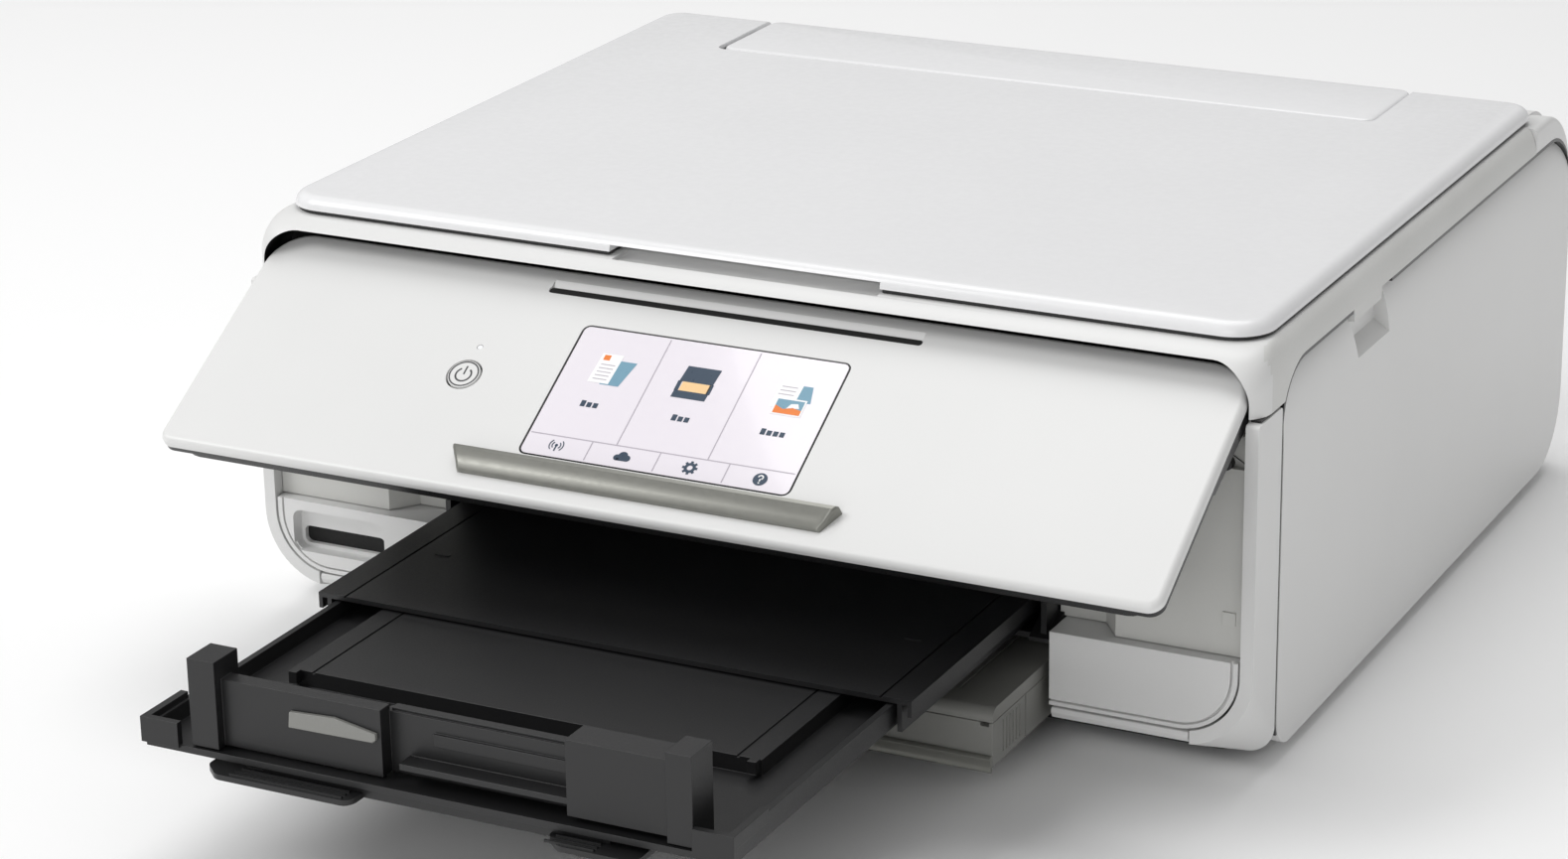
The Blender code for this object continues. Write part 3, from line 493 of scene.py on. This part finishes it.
def block_blank(inset, y0, y1):
    """Front block outline, drawn in from its outer and lower edges."""
    x, z = 181.2 - inset, 17.8 + inset * 0.8
    bm = slab([(115.8, z), (x, z), (x, 44), (115.8, 44)], "Y", y0, y1)
    return soften(bm, 21.2 - inset, 16, lambda m, d: abs(d.y) > 0.9 and m.x > x - 1 and m.z < z + 1)


def front_block():
    """Block beside the cassette; a groove follows its outer edge."""
    whole = block_blank(0.5, -168.8, -148.2)
    groove = carve(block_blank(2.3, -175, -167.2), block_blank(3.1, -180, -160))
    return carve(whole, groove)


def inner_wall():
    low = slab([(113.9, -154.8), (130, -154.8), (137, -164.2), (181.2, -164.2), (181.2, -151), (113.9, -151)],
               "Z", 44.3, 107.6)
    high = box(113.9, 181.2, -158.4, -151.2, 107, 124.5)
    ledge = box(164, 181.2, -161.6, -157, 107, 117.8)
    return weld(low, high, ledge, box(173.6, 178, -164.8, -163, 54.8, 59.2))


def front():
    pair("front_post", front_post, COVER_WHITE, "enclosure", ["front_frame"], edge=0.3, slot="white")
    pair("front_lip", front_lip, COVER_WHITE, "enclosure", edge=0.35, steps=3, slot="white")
    piece("front_block_cover_right", front_block(), COVER_WHITE, "enclosure", ["front_block_right"], slot="white")
    left = mirrored(front_block())
    opening = slab([(-174.6, 25), (-137, 25), (-137, 40.3), (-174.6, 40.3)], "Y", -172, -163.5)
    soften(opening, 3.4, 6, lambda m, d: abs(d.y) > 0.9)
    slit = slab([(-173.4, 26.2), (-140, 26.2), (-140, 32.6), (-173.4, 32.6)], "Y", -165, -158)
    soften(slit, 2.2, 5, lambda m, d: abs(d.y) > 0.9)
    piece("front_block_cover_left", carve(left, opening, slit), COVER_WHITE, "enclosure", ["front_block_left"],
          slot="white")
    # A near-black box in the card slit: painted shade for the slot's dark inside.
    piece("card_slot_shade", box(-174.5, -137.5, -161.5, -159.5, 25.5, 34), SHADE_BLACK, "enclosure", ["card_slot"],
          edge=0.2, slot="black")
    pair("inner_panel", inner_wall, WALL_WHITE, "enclosure", ["inner_wall"], edge=0.4, slot="white")
    pair("damper_stud", lambda: rod("Y", 173.4, 108.8, 2.2, -164.6, -158, 32), SHELL_BLACK, "enclosure",
         edge=0.4, slot="black")


# ---------------------------------------------------------------- control panel

def panel_plate():
    bm = slab([(-180.9, -84.4), (180.9, -84.4), (180.9, 12.5), (-180.9, 12.5)], "Z", UNDER, FACE)
    soften(bm, 15.5, 12, lambda m, d: abs(d.z) > 0.9 and m.y > 0)
    soften(bm, 5, 8, lambda m, d: abs(d.z) > 0.9 and m.y < -80)
    soften(bm, 2.3, 8, lambda m, d: m.z > FACE - 0.01)
    screen = plate(-49.5, 49.5, -66.0, -9.8, 0, 8, 3, 6)
    button = rod("Z", -82.7, -38.0, 6.4, 0, 8, 64)
    lamp = rod("Z", -82.4, -25.8, 1.1, 0, 8, 24)
    slot = plate(-69, 69, 1.2, 3.9, 0, 8, 1.2, 5)
    scoop = slab([(3.7, FACE - 1.0), (3.7, FACE + 2), (7.6, FACE + 2), (6.8, FACE - 0.02), (4.4, FACE - 0.9)],
                 "X", -68.6, 68.6)
    piece("panel_cover", carve(bm, screen, button, lamp, slot, scoop), COVER_WHITE, "control_panel",
          ["panel_plate"], edge=0.2, place=PANEL, slot="white")


def panel_shell():
    top = UNDER - 0.3
    bm = plate(-176, 176, -82.4, 9.5, top - 5.6, top, 8, 6)
    arm = [(4, top), (-38, top), (-34, top - 3.5), (-6, top - 5.6), (3, top - 5.6)]
    bm = weld(bm, slab(arm, "X", 175, 180.4), slab(arm, "X", -180.4, -175))
    bm = carve(bm, rod("Z", -82.7, -38.0, 4.9, top - 3, top + 1, 48))
    piece("panel_back", bm, SHELL_BLACK, "control_panel", ["panel_shell"], edge=0.6, steps=3, place=PANEL,
          slot="black")
    rim = slab([(-180.6, -84.1), (180.6, -84.1), (180.6, 12.2), (-180.6, 12.2)], "Z", top - 2.0, top + 0.25)
    soften(rim, 15.2, 12, lambda m, d: abs(d.z) > 0.9 and m.y > 0)
    soften(rim, 4.7, 8, lambda m, d: abs(d.z) > 0.9 and m.y < -80)
    piece("panel_rim", carve(rim, rod("Z", -82.7, -38.0, 5.5, top - 3, top + 3, 48)), SHELL_BLACK, "control_panel",
          edge=0.1, place=PANEL, slot="black")
    # A near-black sheet under the panel's slot: painted shade for the slot's dark inside.
    slot_shade = plate(-68.9, 68.9, 1.3, 3.8, UNDER - 0.2, FACE - 0.4, 1.2, 5)
    piece("slot_shade_sheet", slot_shade, SHADE_BLACK, "control_panel", edge=0, place=PANEL, slot="black")


def strip_of(radius, width, start, end, x, y, z, steps=28):
    """A flat arc with a little thickness, angles in degrees from the X axis."""
    bm = bmesh.new()
    a = math.radians(start)
    ends = [(radius - width / 2, z), (radius + width / 2, z), (radius + width / 2, z + 0.08),
            (radius - width / 2, z + 0.08)]
    face = bm.faces.new([bm.verts.new((r * math.cos(a), r * math.sin(a), h)) for r, h in ends])
    bmesh.ops.spin(bm, geom=[face], cent=(0, 0, 0), axis=(0, 0, 1), dvec=(0, 0, 0),
                   angle=math.radians(end - start), steps=steps)
    bmesh.ops.translate(bm, vec=(x, y, 0), verts=bm.verts)
    bmesh.ops.recalc_face_normals(bm, faces=bm.faces)
    return bm


def flat(points, z=FACE - 0.04, thick=0.05):
    return slab(points, "Z", z, z + thick)


def bar(x0, x1, y0, y1, z=FACE - 0.04):
    return flat([(x0, y0), (x1, y0), (x1, y1), (x0, y1)], z)


def leaning(x, y, wide, tall, lean, z=FACE - 0.04):
    """A page shape whose top leans sideways."""
    return flat([(x, y), (x + wide, y), (x + wide + lean, y + tall), (x + lean, y + tall)], z)


def display():
    edge = 0.35
    piece("screen_border", plate(-49.5 + edge, 49.5 - edge, -66 + edge, -9.8 - edge, UNDER, FACE - 0.1, 2.6, 6),
          BEZEL, "control_panel", ["touch_screen"], edge=0.1, place=PANEL, slot="screen")
    piece("screen_face", plate(-48.7, 48.7, -65.3, -10.5, FACE - 0.2, FACE - 0.05, 2.2, 6), DISPLAY,
          "control_panel", edge=0, place=PANEL, slot="screen")
    rules = [bar(-16.6, -16.2, -56.5, -11.2), bar(16.6, 17.0, -56.5, -11.2), bar(-48, 48, -56.9, -56.5)]
    rules += [bar(x - 0.2, x + 0.2, -64.6, -56.9) for x in (-25, 0, 25)]
    piece("screen_rules", gather(*[(0, r) for r in rules]), RULE, "control_panel", edge=0, place=PANEL,
          slot="screen")
    step = 0.03
    low, mid, high = (FACE - 0.04 + step * k for k in range(3))

    def lines(x, y, wide, count, pitch):
        return [(2, bar(x + 0.12 * k, x + wide + 0.12 * k, y + pitch * k, y + pitch * k + 0.35, high))
                for k in range(count)]

    copy = [(1, leaning(-33.5, -33.4, 7.0, 10.5, 2.6, low)), (0, leaning(-38.2, -33.0, 7.8, 12.4, 0.6, mid)),
            (3, bar(-36.6, -34.2, -23.4, -21.2, high))] + lines(-36.9, -31.6, 5.2, 5, 1.55)
    scan = [(4, leaning(-6.4, -27.2, 12.2, 6.6, 0.6, mid)), (5, leaning(-5.2, -31.0, 10.4, 3.8, 0.2, mid)),
            (4, leaning(-6.8, -34.0, 12.4, 3.0, 0.2, mid)), (4, bar(-6.8, -5.4, -31.2, -27.0, mid)),
            (4, bar(4.8, 6.2, -31.2, -27.0, mid))]
    prints = [(1, leaning(33.5, -28.6, 8.2, 6.8, -1.6, low)), (0, leaning(28.0, -31.8, 8.2, 11.2, 0.5, mid))]
    prints += lines(29.2, -26.4, 5.6, 3, 1.6)
    prints += [(0, bar(29.6, 40.4, -34.6, -27.6, high)), (1, bar(30.2, 39.8, -34.0, -28.2, high + step)),
               (3, flat([(30.2, -34.0), (39.8, -34.0), (39.8, -32.0), (36.4, -31.2), (33.4, -32.2), (30.2, -30.8)],
                        high + 2 * step)),
               (0, flat([(34.4, -31.8), (38.8, -31.2), (37.8, -29.4), (35.4, -29.8)], high + 2 * step))]
    for parts, x, y, marks in ((copy, -36.3, -43.4, 3), (scan, -2.6, -43.4, 3), (prints, 29.6, -43.4, 4)):
        parts += [(4, bar(x + 2.3 * k, x + 2.3 * k + 1.7, y, y + (2.0 if k else 2.5), mid)) for k in range(marks)]
    for name, parts in (("copy", copy), ("scan", scan), ("print", prints)):
        piece("screen_mark_" + name, gather(*parts), [PAGE, TEAL, RULE, ORANGE, SLATE, AMBER], "control_panel",
              edge=0, place=PANEL, slot="screen")
    y = -60.9
    small = [(0, rod("Z", -36.9, y + 0.4, 0.55, mid, mid + 0.05, 20)), (0, bar(-37.15, -36.65, y - 2.0, y, mid))]
    for r in (1.5, 2.5):
        small += [(0, strip_of(r, 0.35, a - 48, a + 48, -36.9, y + 0.4, mid)) for a in (0, 180)]
    small += [(0, rod("Z", -12.5 + u, y + v, r, mid + 0.004 * k, mid + 0.05 + 0.004 * k, 32))
              for k, (u, v, r) in enumerate(((-1.7, -0.5, 1.2), (0.2, 0.4, 1.7), (1.9, -0.4, 1.25)))]
    small.append((0, bar(-14.2, -10.7, y - 1.65, y - 0.6, mid)))
    small.append((0, strip_of(1.5, 1.0, 0, 360, 12.2, y, mid, 40)))
    for k in range(8):
        tooth = bar(1.7, 2.7, -0.45, 0.45, mid)
        bmesh.ops.rotate(tooth, matrix=Matrix.Rotation(math.radians(45 * k), 3, "Z"), verts=tooth.verts)
        bmesh.ops.translate(tooth, vec=(12.2, y, 0), verts=tooth.verts)
        small.append((0, tooth))
    small.append((0, rod("Z", 37.4, y, 2.5, mid, mid + 0.05, 40)))
    small.append((1, strip_of(0.8, 0.45, -60, 180, 37.4, y + 0.7, high)))
    small.append((1, bar(37.2, 37.65, y - 0.9, y + 0.1, high)))
    small.append((1, rod("Z", 37.42, y - 1.5, 0.28, high, high + 0.05, 16)))
    piece("screen_marks_small", gather(*small), [SLATE, PAGE], "control_panel", edge=0, place=PANEL, slot="screen")


def panel_fittings():
    profile = [(-77.4, FACE - 0.2), (-68.3, FACE - 0.2), (-68.6, FACE + 3.2), (-69.4, FACE + 4.3),
               (-70.9, FACE + 4.6), (-72.4, FACE + 3.7), (-74.6, FACE + 2.5), (-76.8, FACE + 1.9),
               (-77.6, FACE + 1.1)]
    grip = slab(profile, "X", -71, 70)
    for v in grip.verts:
        v.co.x *= 1 - 0.0075 * max(0.0, -68.3 - v.co.y)
    soften(grip, 2.0, 5, lambda m, d: abs(m.x) > 64 and abs(d.x) < 0.5 and m.z > FACE + 0.5)
    piece("grip_bar", grip, SILVER_PAINT, "control_panel", ["panel_grip"], edge=0.35, steps=3, place=PANEL,
          slot="silver")
    cap = rod("Z", -82.7, -38.0, 5.75, UNDER + 0.9, FACE + 0.25, 64)
    stem = rod("Z", -82.7, -38.0, 4.4, UNDER - 0.1, UNDER + 1.4, 28)
    piece("power_key_cap", weld(cap, stem), COVER_WHITE, "power_key", ["power_button"], edge=0.35, steps=3,
          place=PANEL, slot="white")
    z = FACE + 0.22
    sign = [(0, strip_of(2.8, 0.62, 125, 415, -82.7, -38.3, z)), (0, bar(-83.0, -82.4, -38.2, -34.6, z))]
    sign.append((0, strip_of(5.1, 0.5, 0, 360, -82.7, -38.0, z, 64)))
    piece("power_key_sign", gather(*sign), PRINT_GREY, "power_key", edge=0, place=PANEL, slot="grey")
    piece("lamp_lens_cap", rod("Z", -82.4, -25.8, 0.95, UNDER, FACE - 0.05, 24), LENS, "control_panel",
          ["power_lamp"], edge=0.2, place=PANEL, slot="lens")


# ---------------------------------------------------------------- output tray

def tray_channel():
    profile = [(113.3, 38.8), (113.3, 70), (111.3, 70), (111.3, 40.8)]
    body = slab(profile + [(-x, z) for x, z in reversed(profile)], "Y", -157.1, 45)
    low = [(113.3, 38.8), (113.3, 52), (111.3, 52), (111.3, 40.8)]
    mouth = slab(low + [(-x, z) for x, z in reversed(low)], "Y", -165, -156)
    slope = [(-155, 45.6), (-155, 38.9), (-167, 38.9), (-167, 40.2)]
    wings = [slab(slope, "X", *sorted((s * 107.9, s * 115.4))) for s in (-1, 1)]
    flange = box(-119, 119, -147.4, 44, 38.8, 40.6)
    piece("exit_channel", weld(body, mouth, flange, *wings), TRAY_BLACK, "enclosure", ["output_channel"], edge=0.35,
          slot="black")


def outer_stage():
    top = box(-107.3, 107.3, -255, -135, 50.4, 52)
    parts = []
    for s in (-1, 1):
        parts.append(box(*sorted((s * 102.4, s * 104.0)), -255, -135, 41.2, 51))
        parts.append(box(*sorted((s * 105.9, s * 107.3)), -255, -135, 46.5, 51))
        parts.append(box(*sorted((s * 84.3, s * 89.5)), -211, -209.6, 51.5, 52.35))
    groove = [box(*sorted((s * 96.6, s * 97.4)), -262, -130, 51.4, 53) for s in (-1, 1)]
    piece("outer_tray", carve(weld(top, *parts), *groove), TRAY_BLACK, "tray_outer", ["tray_outer_stage"],
          edge=0.3, slot="black")


def inner_stage():
    floor = box(-101, 101, -362, -225, 42.2, 44.4)
    parts = [box(-83, 83, -308, -225, 43, 49.8)]
    for s in (-1, 1):
        parts.append(box(*sorted((s * 98.7, s * 101)), -362, -225, 43, 49.8))
        parts.append(box(*sorted((s * 88.5, s * 102.2)), -363, -360.6, 43.6, 52))
        parts.append(box(*sorted((s * 99.5, s * 102.2)), -363, -341, 47.6, 52))
        parts.append(box(*sorted((s * 79.5, s * 82.5)), -311, -308, 46, 50.1))
    grooves = [box(*sorted((s * 74.6, s * 75.4)), -310, -220, 49.2, 51) for s in (-1, 1)]
    rib = [box(-70, 70, -345 + 12 * i, -344 + 12 * i, 43.8, 45.2) for i in range(3)]
    piece("inner_tray", carve(weld(floor, *parts, *rib), *grooves), TRAY_BLACK, "tray_inner",
          ["tray_inner_stage"], edge=0.35, slot="black")


def thumb_tabs():
    bridge = box(-60, 60, -360, -352.5, 38.6, 41.9)
    tabs = []
    for x0, x1, first, last in ((-78.5, -24.5, -68, -28), (40.5, 72.5, 41.5, 58)):
        tab = slab([(x0, -352.5), (x0, -362), (x0 + 6, -367.6), (x1 - 2, -367.6), (x1, -365), (x1, -352.5)],
                   "Z", 38.4, 40.2)
        soften(tab, 1.5, 4, lambda m, d: abs(d.z) > 0.9 and m.y < -360)
        tabs.append(tab)
        for k in range(6):
            y = -366.6 + 2.2 * k
            rib = slab([(y, 40.0), (y + 0.2, 40.75), (y + 0.9, 40.75), (y + 1.1, 40.0)], "X", first + 0.8 * k, last)
            tabs.append(rib)
    piece("tray_tabs", weld(bridge, *tabs), TRAY_BLACK, "tray_inner", ["tray_thumb_grip"], edge=0.2, slot="black")


def stop_wall():
    low = 45.2
    left_post = box(-84.8, -75, -361, -348, 44.8, 73.5)
    right_post = box(79.4, 88, -361, -348, 44.8, 73.5)
    left_wall = box(-76, -18.5, -357.6, -352, low, 67)
    left_side = box(-21, -18.5, -357.6, -348, low, 64)
    middle = box(-20, 46, -352.5, -348.5, low, 65)
    lower_bar = plate(-12, 46.5, -359.2, -351, 49.6, 51.6, 0.6, 3)
    upper_bar = box(-3, 46.5, -353.6, -351, 56.5, 60.5)
    right_wall = box(45.6, 80, -359.6, -348, low + 1, 70.5)
    brace = slab([(-348.5, 66), (-348, 52), (-352, 66)], "X", -18, 45)
    bm = weld(middle, left_wall, left_side, left_post, right_wall, right_post, lower_bar, upper_bar, brace)
    piece("stop_plate", bm, TRAY_BLACK, "stop", ["paper_stop"], edge=0.4, slot="black")
    tab = slab([(-50.7, 56.0), (-21.0, 56.4), (-19.8, 57.4), (-19.8, 59.4), (-34.4, 62.0), (-50.2, 61.2)], "Y",
               -358.9, -357.2)
    piece("stop_flag", tab, CASSETTE_GREY, "stop", ["stop_tab"], edge=0.3, slot="grey")


# ---------------------------------------------------------------- cassette

def paper_drawer():
    bm = box(-113, 113, -207, 95, 11, 26.2)
    inside = box(-110.5, 110.5, -203, 92, 13, 27)
    grooves = []
    for s in (-1, 1):
        x0, x1 = sorted((s * 112.5, s * 114))
        grooves += [box(x0, x1, -199 + 2.6 * i, -198 + 2.6 * i, 13.5, 24.5) for i in range(6)]
        grooves.append(box(x0, x1, -181, -180.4, 10, 27))
    corner = box(108.6, 111.6, -208, -203.5, 24.9, 27)
    piece("drawer_tray", carve(bm, inside, corner, *grooves), CASSETTE_GREY, "cassette", ["cassette_tray"],
          edge=0.35, slot="grey")
    lip = slab([(-207.2, 15.2), (-208.4, 15.2), (-209, 14.4), (-208.6, 13.2), (-208.6, 11.4), (-209, 10.2),
                (-208.2, 9.5), (-207.2, 9.5)], "X", -113, 113)
    piece("drawer_lip", lip, SILVER_PAINT, "cassette", ["cassette_lip"], edge=0.2, slot="silver")
    top = box(-113, 113, -207, -57, 26.5, 31)
    soften(top, 3.6, 8, lambda m, d: m.y < -206.9 and m.z > 30.9)
    soften(top, 1.0, 4, lambda m, d: m.z > 30.9 and abs(m.x) > 112.9)
    rails = [box(*sorted((s * 96, s * 97)), -195, -70, 30.4, 32) for s in (-1, 1)]
    piece("drawer_cover", carve(top, *rails), CASSETTE_GREY, "cassette", ["cassette_cover"], edge=0.2, slot="grey")


# ---------------------------------------------------------------- parts inside

def ink_set():
    """Print carriage and its tanks, with a coloured cap on each tank."""
    shell = box(86, 170, -48, 13.5, 72, 100)
    bay = box(88.5, 167.5, -45, 5.5, 78, 101)
    window = [box(90 + 15.8 * k, 101 + 15.8 * k, -50, -44, 86, 96) for k in range(5)]
    piece("print_carriage", carve(shell, bay, *window), SHELL_BLACK, "carriage", ["ink_carriage"], edge=0.5,
          slot="black")
    inks = ("#19A5D8", "#D8318E", "#F0D020", "#1C1C1E", "#4A4A50")
    for k, ink in enumerate(inks):
        x = 88.5 + 15.8 * (k + 0.5)
        tank = box(x - 7.4, x + 7.4, -44.6, 5.1, 78.4, 110)
        grip = box(x - 5, x + 5, -42, -36, 108.6, 112)
        piece("ink_tank_body_%d" % (k + 1), carve(tank, grip), TRAY_BLACK, "carriage", ["ink_tank_%d" % (k + 1)],
              edge=0.6, slot="black")
        dye = finish("ink_cap_%d" % (k + 1), ink, ink, 0.35, 1.0, 0.004, IOR=1.5)
        piece("ink_cap_%d" % (k + 1), plate(x - 5, x + 5, -30, 0, 109.8, 110.1, 1, 3), dye, "carriage", edge=0,
              slot="black")


def clothe_frame():
    """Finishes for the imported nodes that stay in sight."""
    kept = {
        TRAY_BLACK: ("lower_case", "platen", "cassette_guide_left", "cassette_guide_right", "scan_bar",
                     "power_inlet"),
        RUBBER: ("foot_front_left", "foot_front_right", "foot_rear_left", "foot_rear_right", "feed_roller",
                 "exit_roller"),
        STEEL: ("carriage_rail", "scan_rail", "feed_motor", "usb_port"),
        CASSETTE_GREY: ("feed_gear", "feed_guide_left", "feed_guide_right"),
        WALL_WHITE: ("feed_chute", "paper_support"),
        BOARD: ("main_board",),
        GLASS: ("document_glass",),
        FOAM: ("pressure_pad",),
    }
    for made, nodes in kept.items():
        for name in nodes:
            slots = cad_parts[name].material_slots
            for k in range(len(slots)):
                slots[k].material = made


# ---------------------------------------------------------------- stage

def studio():
    bm = bmesh.new()
    bmesh.ops.create_grid(bm, x_segments=1, y_segments=1, size=6.0)
    mesh = bpy.data.meshes.new("floor")
    bm.to_mesh(mesh)
    bm.free()
    floor = bpy.data.objects.new("floor", mesh)
    bpy.context.scene.collection.objects.link(floor)
    pale = bpy.data.materials.new("pale_floor")
    pale.use_nodes = True
    shader = pale.node_tree.nodes["Principled BSDF"]
    shader.inputs["Base Color"].default_value = colour("#FFFFFF")
    shader.inputs["Roughness"].default_value = 0.9
    mesh.materials.append(pale)

    world = bpy.data.worlds.new("studio")
    bpy.context.scene.world = world
    world.use_nodes = True
    background = world.node_tree.nodes["Background"]
    background.inputs["Color"].default_value = colour("#FFFFFF")
    background.inputs["Strength"].default_value = 0.37
    target = Vector((0.0, 0.0, 0.08))
    for name, spot, size, power in (("key", (-1.6, -1.3, 2.0), 1.4, 28), ("top", (-0.2, 0.5, 2.2), 1.8, 20),
                                    ("front", (0.3, -2.4, 0.9), 1.4, 10)):
        lamp = bpy.data.lights.new(name, "AREA")
        lamp.shape = "DISK"
        lamp.size = size
        lamp.energy = power
        made = bpy.data.objects.new(name, lamp)
        made.location = spot
        made.rotation_euler = (target - Vector(spot)).to_track_quat("-Z", "Y").to_euler()
        bpy.context.scene.collection.objects.link(made)
    bpy.context.scene.view_settings.view_transform = "Standard"


def camera():
    """A long lens to the right of the printer, looking down at it."""
    yaw, pitch, roll = (math.radians(a) for a in (27.12, 19.87, -0.977))
    ahead = Vector((-math.sin(yaw) * math.cos(pitch), math.cos(yaw) * math.cos(pitch), -math.sin(pitch)))
    right = Vector((math.cos(yaw), math.sin(yaw), 0.0))
    up = right.cross(ahead)
    right, up = (math.cos(roll) * right + math.sin(roll) * up, math.cos(roll) * up - math.sin(roll) * right)
    turn = Matrix((right, up, -ahead)).transposed()
    lens = bpy.data.cameras.new("camera")
    lens.sensor_width = 36.0
    lens.lens = 94.2
    made = bpy.data.objects.new("camera", lens)
    made.location = (Vector((598.1, -1295.6, 556.7)) + MIDDLE) * MM
    made.rotation_euler = turn.to_euler()
    bpy.context.scene.collection.objects.link(made)
    bpy.context.scene.camera = made


camera()
studio()
clothe_frame()
document_lid()
scanner_shell()
feed_lid()
feed_gap_shade()
covers()
front()
panel_plate()
panel_shell()
display()
panel_fittings()
tray_channel()
outer_stage()
inner_stage()
thumb_tabs()
stop_wall()
paper_drawer()
ink_set()
